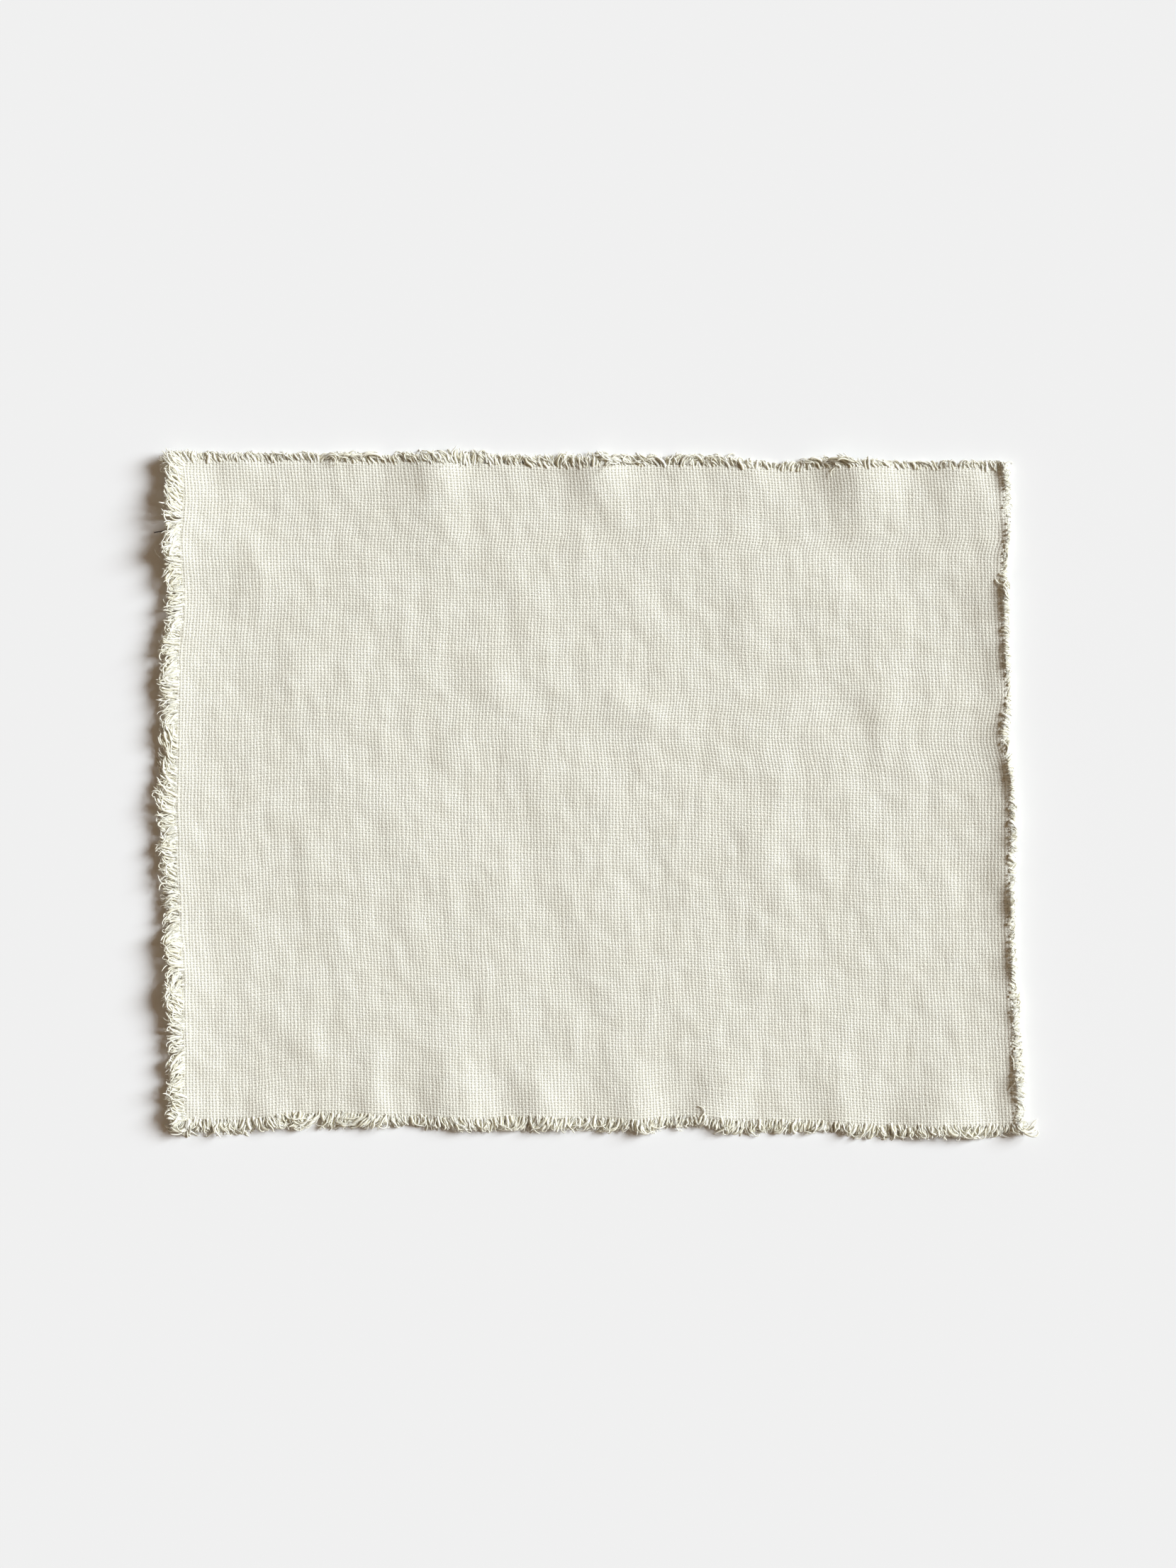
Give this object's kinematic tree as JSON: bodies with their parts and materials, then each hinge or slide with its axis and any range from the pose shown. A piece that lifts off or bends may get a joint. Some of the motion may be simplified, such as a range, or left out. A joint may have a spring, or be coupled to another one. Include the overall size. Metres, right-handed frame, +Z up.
{
  "type": "fringed placemat",
  "caption": "Rectangular placemat of coarse plain-woven cloth with short frayed edges, lying flat to protect a table under a plate.",
  "frame": {"origin": "on the table under the middle of the whole mat with its fringe", "axes": "+X along the long side, +Y towards the back long edge, +Z up"},
  "size_m": [0.4626, 0.3682, 0.0068],
  "materials": {
    "cloth": "coarse plain weave, undyed cream cotton, matte",
    "fringe": "loose curled yarn ends, undyed cream cotton, matte"
  },
  "bodies": {
    "root": {"cloth": "cloth", "fringe_front": "fringe", "fringe_right": "fringe", "fringe_back": "fringe", "fringe_left": "fringe"}
  },
  "joints": []
}
